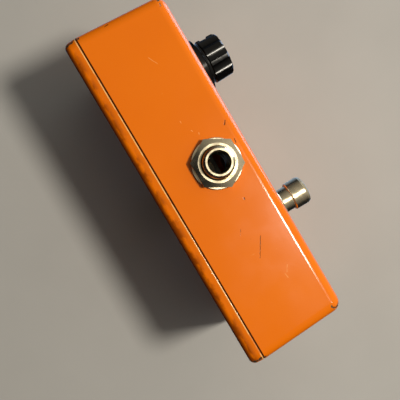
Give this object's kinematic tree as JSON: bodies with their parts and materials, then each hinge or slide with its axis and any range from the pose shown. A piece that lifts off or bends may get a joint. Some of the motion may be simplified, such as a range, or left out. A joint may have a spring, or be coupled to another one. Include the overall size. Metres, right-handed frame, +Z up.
{
  "type": "guitar effects pedal",
  "caption": "Stomp box in a drafted die-cast case, with a fluted control knob, a round footswitch and a quarter-inch jack in each side.",
  "frame": {"origin": "middle of the bottom cover's outer face", "axes": "+Z up out of the control face, +Y towards the knob end, away from the player, +X towards the input jack's side; metres"},
  "size_m": [0.072, 0.1124, 0.0476],
  "materials": {
    "case_paint": "gloss",
    "steel_screws": "satin",
    "nickel_plate": "polished",
    "spring_metal": "satin",
    "zinc_casting": "satin",
    "pot_aluminium": "satin",
    "phenolic_black": "gloss",
    "knob_brass": "satin",
    "dark_steel": "satin",
    "line_white": "matte",
    "phenolic_brown": "matte",
    "carbon_track": "matte",
    "moulded_plastic": "matte",
    "trimmer_white": "matte",
    "board_green": "satin",
    "foam_black": "matte",
    "capacitor_sleeve": "gloss",
    "capacitor_film": "gloss",
    "resistor_body": "satin",
    "battery_jacket": "gloss",
    "snap_black": "matte",
    "sheet_fibre": "matte",
    "wire_red": "satin",
    "wire_black": "satin",
    "wire_signal": "satin"
  },
  "bodies": {
    "case": {"battery": "battery_jacket", "battery_lead_black": "wire_black", "battery_lead_red": "wire_red", "battery_snap": "snap_black", "battery_terminals": "nickel_plate", "board_foam_pad": "foam_black", "bottom_cover": "case_paint", "circuit_board": "board_green", "cover_screws": "steel_screws", "diodes": "resistor_body", "electrolytic_capacitors": "capacitor_sleeve", "enclosure": "case_paint", "film_capacitors": "capacitor_film", "footswitch_body": "moulded_plastic", "footswitch_bushing": "nickel_plate", "footswitch_frame": "nickel_plate", "footswitch_lock_washer": "nickel_plate", "footswitch_lower_nut": "nickel_plate", "footswitch_spring": "steel_screws", "footswitch_terminals": "spring_metal", "footswitch_top_nut": "nickel_plate", "footswitch_washer": "nickel_plate", "input_jack_bushing": "nickel_plate", "insulation_sheet": "sheet_fibre", "jack_frames": "nickel_plate", "jack_insulators": "phenolic_brown", "jack_lock_washers": "nickel_plate", "jack_nuts": "nickel_plate", "jack_terminals": "spring_metal", "jack_washers": "nickel_plate", "op_amps": "moulded_plastic", "output_jack_bushing": "nickel_plate", "pot_bushing": "zinc_casting", "pot_can": "nickel_plate", "pot_lock_washer": "nickel_plate", "pot_nut": "nickel_plate", "pot_terminals": "spring_metal", "pot_track": "carbon_track", "pot_wafer": "phenolic_brown", "pot_washer": "nickel_plate", "resistors": "resistor_body", "signal_wires": "wire_signal", "snap_contacts": "spring_metal", "transistors": "moulded_plastic", "trimmer_base": "moulded_plastic"},
    "knob_assembly": {"knob": "phenolic_black", "knob_insert": "knob_brass", "knob_set_screw": "dark_steel", "knob_index_line": "line_white", "pot_shaft": "pot_aluminium", "pot_rotor": "moulded_plastic", "pot_wiper": "spring_metal"},
    "plunger": {"footswitch_plunger": "nickel_plate", "footswitch_cap": "nickel_plate"},
    "trimmer_screw": {"trimmer_rotor": "trimmer_white"},
    "output_tip_contact": {"output_tip_spring": "spring_metal"},
    "input_tip_contact": {"input_tip_spring": "spring_metal"},
    "input_ring_contact": {"input_ring_spring": "spring_metal"}
  },
  "joints": [
    {"name": "knob_turn", "type": "hinge", "parent": "case", "child": "knob_assembly", "pos_m": [0, 0.0346, 0.0335], "axis": [0, 0, 1], "range_deg": [-147.5, 147.5]},
    {"name": "footswitch_press", "type": "slide", "parent": "case", "child": "plunger", "axis": [0, 0, -1], "range_m": [0, 0.0035], "stiffness_N_per_m": 2500, "springref_m": -0.003, "deforming": ["footswitch_spring"]},
    {"name": "trimmer_turn", "type": "hinge", "parent": "case", "child": "trimmer_screw", "pos_m": [0.0195, 0.022, 0.014], "axis": [0, 0, 1], "range_deg": [-130, 130]},
    {"name": "output_tip_flex", "type": "hinge", "parent": "case", "child": "output_tip_contact", "pos_m": [-0.01732, 0.0104, 0.02115], "axis": [0.0366, 0, 0.9993], "range_deg": [0, 9], "stiffness_Nm_per_rad": 0.4, "springref_deg": -2.86},
    {"name": "input_tip_flex", "type": "hinge", "parent": "case", "child": "input_tip_contact", "pos_m": [0.01732, -0.0064, 0.02115], "axis": [-0.0366, 0, 0.9993], "range_deg": [0, 9], "stiffness_Nm_per_rad": 0.4, "springref_deg": -2.86},
    {"name": "input_ring_flex", "type": "hinge", "parent": "case", "child": "input_ring_contact", "pos_m": [0.01732, -0.0052, 0.02115], "axis": [-0.0366, 0, 0.9993], "range_deg": [0, 9], "stiffness_Nm_per_rad": 0.4, "springref_deg": -2.86}
  ]
}
